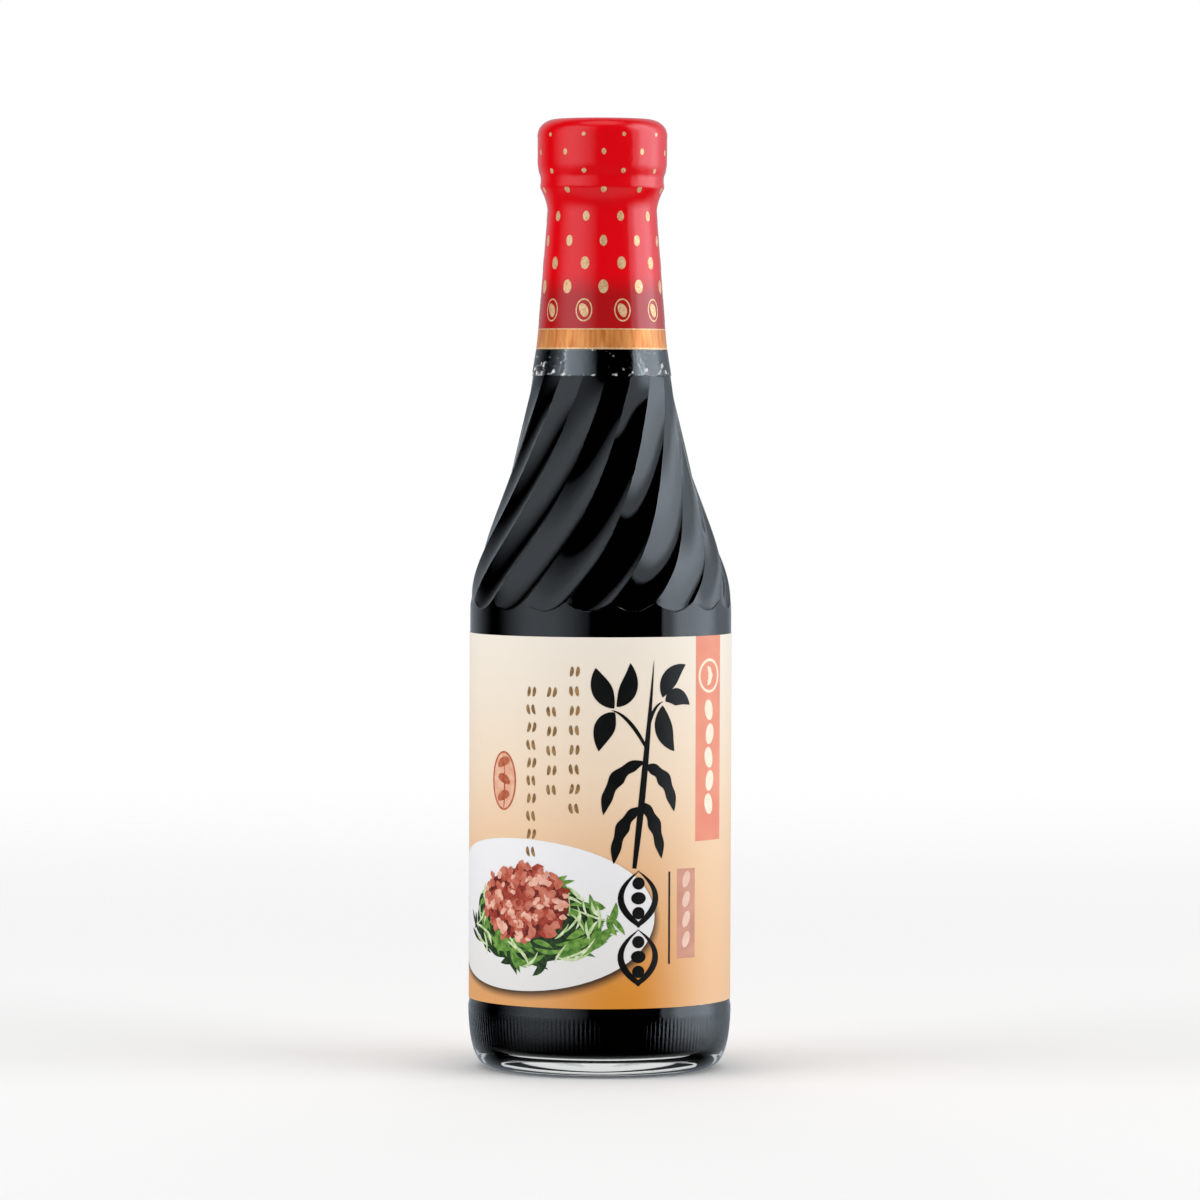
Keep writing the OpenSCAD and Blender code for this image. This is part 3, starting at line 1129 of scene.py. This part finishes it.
# Tones of the greens from the plate up: its name, its two colours, its mottles, and how its stalks and
# leaves are strewn: seed, count, length, width and place along the label
GREENS = (
    ("deep", "#12240F", "#2B4A22", 900, 10, 60, 9, 1.7, -21),
    ("mid", "#447628", "#7DA84C", 700, 11, 75, 8, 1.6, -16.5),
    ("light", "#A9C784", "#E2ECC8", 700, 12, 45, 8.5, 0.75, -19.3),
)
# Tones of the meat in the same way: seed, count and size of its chunks
MEATS = (
    ("deep", "#8E2C22", "#B24A38", 700, 20, 60, 4.4),
    ("mid", "#B8543F", "#D0806A", 500, 21, 85, 3.2),
    ("light", "#DB9780", "#F0C0AC", 500, 22, 60, 2.3),
)


def strewn_greens(seed, count, length, width, along):
    """Stalks and leaves strewn on the plate round a place along the label."""
    chance = random.Random(seed)
    parts = []
    for _ in range(count):
        x, z, angle = in_oval(chance, (along, 38.8), 20.5, 10.6, 0.25)
        way = angle + math.pi / 2 + chance.uniform(-0.9, 0.9)
        reach = chance.uniform(0.6, 1.2) * length / 2
        dx, dz = math.cos(way) * reach, math.sin(way) * reach * 0.75
        pull = chance.uniform(-1.6, 1.6) * 0.4
        parts.append(stroke((x - dx, z - dz), (x - dz * pull, z + dx * pull), (x + dx, z + dz),
                            chance.uniform(0.7, 1.3) * width, leaf_swell, 7))
    return parts


def meat_chunks(seed, count, size):
    """Chunks of minced meat heaped in the middle, as many-sided patches."""
    chance = random.Random(seed)
    parts = []
    for _ in range(count):
        x, z, _angle = in_oval(chance, (-20.6, 43.6), 13.8, 9.4)
        half = chance.uniform(0.6, 1.15) * size / 2
        tall = half * chance.uniform(0.5, 0.9)
        chunk = oval((x, z), half, tall, 7, 0, chance.uniform(-70, 70))
        for vertex in chunk.data.vertices:
            vertex.co.x += chance.uniform(-0.22, 0.22) * half * MM
            vertex.co.z += chance.uniform(-0.22, 0.22) * half * MM
        parts.append(chunk)
    return parts


def dish():
    """The printed dish: minced meat heaped on stir-fried greens, in layers from the plate up."""
    bed = ink("dark_green_ink", "#15250F", "#2F4C22", 900)
    printed("print_greens_dark", [oval((-19.4, 38.4), 19.6, 9.6, 40)], bed, 3)
    for layer, (tone, first, second, mottles, *strewn) in enumerate(GREENS, 4):
        green = ink(tone + "_green_ink", first, second, mottles)
        printed("print_greens_" + tone, strewn_greens(*strewn), green, layer, cut=False)
    heap = ink("meat_ground_ink", "#4E160F", "#84291E", 900)
    printed("print_meat_ground", [oval((-20.6, 43.4), 13.0, 8.8, 40)], heap, 7)
    for layer, (tone, first, second, mottles, *heaped) in enumerate(MEATS, 8):
        meat = ink("meat_%s_ink" % tone, first, second, mottles)
        printed("print_meat_" + tone, meat_chunks(*heaped), meat, layer, cut=False)


# ---- Studio --------------------------------------------------------------------------------------

# From here on in metres
FLOOR_RADIUS = 1.4
FLOOR_FADE = (0.25, 1.2)


def floor():
    """Pale floor that melts into the white backdrop. Neither glass nor film mirrors it."""
    deselect()
    bpy.ops.mesh.primitive_circle_add(vertices=96, radius=FLOOR_RADIUS, fill_type="NGON")
    piece = bpy.context.object
    piece.name = "floor"
    material, tree, shader, place = new_material("pale_floor", {
        "Base Color": linear("#F4F4F4"), "Roughness": 0.9, "Specular IOR Level": 0,
    })
    reach = add_node(tree, "VectorMath", {0: place}, operation="LENGTH").outputs["Value"]
    fade = add_node(tree, "MapRange", {
        "Value": reach, "From Min": FLOOR_FADE[0], "From Max": FLOOR_FADE[1],
    }, interpolation_type="SMOOTHSTEP")
    clear = add_node(tree, "BsdfTransparent")
    mixed = add_node(tree, "MixShader", {0: fade, 1: shader, 2: clear})
    tree.links.new(mixed.outputs[0], tree.nodes["Material Output"].inputs["Surface"])
    piece.data.materials.append(material)
    piece.visible_glossy = False
    piece.visible_transmission = False


FILL_WIDTH = 1.4
FILL_HEIGHT = 1.2
FILL_AIM = Vector((0, 0, 0.13))


def fill(name, degrees, distance, height, radiance):
    """A wide soft lamp at an angle from the front. It lights paper, film and floor, and nothing
    mirrors it."""
    data = bpy.data.lights.new(name, "AREA")
    data.shape = "RECTANGLE"
    data.size, data.size_y = FILL_WIDTH, FILL_HEIGHT
    data.energy = radiance * math.pi * FILL_WIDTH * FILL_HEIGHT
    lamp = bpy.data.objects.new(name, data)
    bpy.context.scene.collection.objects.link(lamp)
    angle = math.radians(degrees)
    lamp.location = (distance * math.sin(angle), -distance * math.cos(angle), height)
    lamp.rotation_euler = (FILL_AIM - lamp.location).to_track_quat("-Z", "Y").to_euler()
    lamp.visible_camera = False
    lamp.visible_glossy = False
    lamp.visible_transmission = False


def soft_band(tree, value, rise, full, fade, gone):
    """1 where a value lies between full and fade, and falling softly to 0 outside them."""
    up = add_node(tree, "MapRange", {
        "Value": value, "From Min": rise, "From Max": full,
    }, interpolation_type="SMOOTHSTEP")
    down = add_node(tree, "MapRange", {
        "Value": value, "From Min": gone, "From Max": fade,
    }, interpolation_type="SMOOTHSTEP")
    return add_node(tree, "Math", {0: up, 1: down}, operation="MULTIPLY")


# Soft panels round the bottle: the angles from the front, in degrees, at which each one begins, is
# full, fades and ends, and how bright it is. They reach from PANEL_REACH's first height to its last, as
# the Z of a direction.
PANELS = [
    (-104, -60, -46, -6, 1.35),
    (-34, -24, -12, -9, 0.15),
    (54, 58, 112, 150, 1.2),
    (62, 76, 102, 128, 2.3),
]
PANEL_REACH = (-0.45, -0.04, 0.72, 0.93)
# Even glows behind, overhead and beneath: the axis, where one begins and is full, and how bright it is
GLOWS = [
    ("Y", 0.35, 0.85, 0.5),
    ("Z", 0.9, 0.99, 0.9),
    ("Z", -0.45, -0.75, 0.4),
]
AMBIENT = 0.42


def world():
    """The camera sees a white backdrop, also through the glass. What is glossy mirrors tall soft panels,
    and matt surfaces are lit by an even ambient light."""
    scene = bpy.context.scene
    scene.world = bpy.data.worlds.new("studio")
    scene.world.use_nodes = True
    tree = scene.world.node_tree
    tree.nodes.clear()
    ray = add_node(tree, "LightPath").outputs
    way = add_node(tree, "TexCoord").outputs["Generated"]
    axes = add_node(tree, "SeparateXYZ", {0: way}).outputs
    back = add_node(tree, "Math", {0: axes["Y"], 1: -1}, operation="MULTIPLY")
    angle = add_node(tree, "Math", {0: axes["X"], 1: back}, operation="ARCTAN2")
    degrees = add_node(tree, "Math", {0: angle}, operation="DEGREES")
    tall = soft_band(tree, axes["Z"], *PANEL_REACH)
    light = 0
    for rise, full, fade, gone, level in PANELS:
        band = soft_band(tree, degrees, rise, full, fade, gone)
        light = add_node(tree, "Math", {0: band, 1: level, 2: light}, operation="MULTIPLY_ADD")
    room = add_node(tree, "Math", {0: light, 1: tall}, operation="MULTIPLY")
    for axis, start, full, level in GLOWS:
        glow = add_node(tree, "MapRange", {
            "Value": axes[axis], "From Min": start, "From Max": full, "To Min": 0, "To Max": level,
        }, interpolation_type="SMOOTHSTEP")
        room = add_node(tree, "Math", {0: room, 1: glow}, operation="ADD")
    lit = add_node(tree, "Mix", {0: ray["Is Diffuse Ray"], 2: room, 3: AMBIENT})
    cool = add_node(tree, "Mix", {
        0: ray["Is Diffuse Ray"], 6: linear("#E6F3FF"), 7: (1, 1, 1, 1),
    }, data_type="RGBA").outputs[2]
    around = add_node(tree, "Background", {"Color": cool, "Strength": lit})
    white = add_node(tree, "Background", {"Color": (1, 1, 1, 1), "Strength": 1})
    through = add_node(tree, "Math", {
        0: ray["Is Camera Ray"], 1: ray["Is Transmission Ray"],
    }, operation="MAXIMUM")
    whole = add_node(tree, "MixShader", {0: through, 1: around, 2: white})
    out = add_node(tree, "OutputWorld", {"Surface": whole})
    out.is_active_output = True
    scene.world.cycles.sampling_method = "NONE"
    scene.view_settings.view_transform = "Standard"


LENS = 187.6
CAMERA_PLACE = (-0.0004, -1.58, 0.1733)
CAMERA_DIP = 2.0
CAMERA_LEAN = -0.2


def camera():
    """Long lens in front of the bottle's shoulder, tipped down a little."""
    data = bpy.data.cameras.new("camera")
    data.sensor_width = 36
    data.lens = LENS
    data.clip_end = 20
    body = bpy.data.objects.new("camera", data)
    bpy.context.scene.collection.objects.link(body)
    body.location = CAMERA_PLACE
    body.rotation_euler = (math.radians(90 - CAMERA_DIP), math.radians(CAMERA_LEAN), 0)
    bpy.context.scene.camera = body


camera()
world()
fill("left_fill", -70, 1.5, 0.7, 2.5)
fill("right_fill", 70, 1.5, 0.7, 2.6)
fill("back_fill", 180, 1.5, 0.7, 1.1)
fill("top_fill", 0, 0, 1.6, 1.2)
floor()
glass_bottle()
sauce()
cap()
film = film_sleeve()
gold_dots(film)
gold_emblems(film)
label_paper()
ribbon()
seal()
grain_columns()
soybean_sprig()
open_pods()
tag()
plate()
dish()
